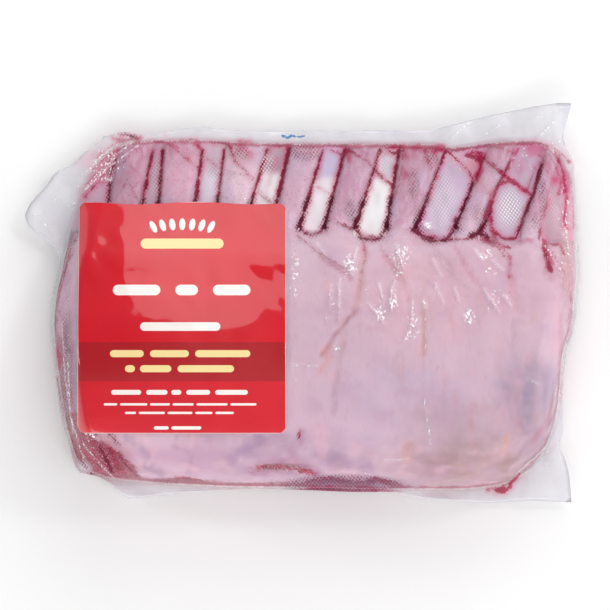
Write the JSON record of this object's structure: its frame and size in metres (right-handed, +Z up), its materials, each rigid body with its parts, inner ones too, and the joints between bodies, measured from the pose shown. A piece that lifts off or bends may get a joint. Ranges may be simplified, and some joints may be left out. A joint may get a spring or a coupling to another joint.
{
  "type": "rack of lamb in a vacuum bag",
  "caption": "Frenched rack of lamb lying rib side down, sealed in a clear vacuum bag with a loose film edge and a printed rectangular label on its fat cap.",
  "frame": {"origin": "centre of the overall box, on the surface that the rack lies on", "axes": "+X across the ribs towards the narrow last rib, +Y from the loin to the rib tips, +Z up from the surface through the fat cap"},
  "size_m": [0.223, 0.1607, 0.049],
  "materials": {
    "film": "clear glossy vacuum film, tinted by the meat behind it",
    "meat": "moist pale fat with dark red lean at the edges",
    "bone": "scraped rib bone with thin red membrane",
    "label": "coated paper under film, glossy"
  },
  "bodies": {
    "root": {"bagged_rack": "film", "label": "label"}
  },
  "joints": []
}
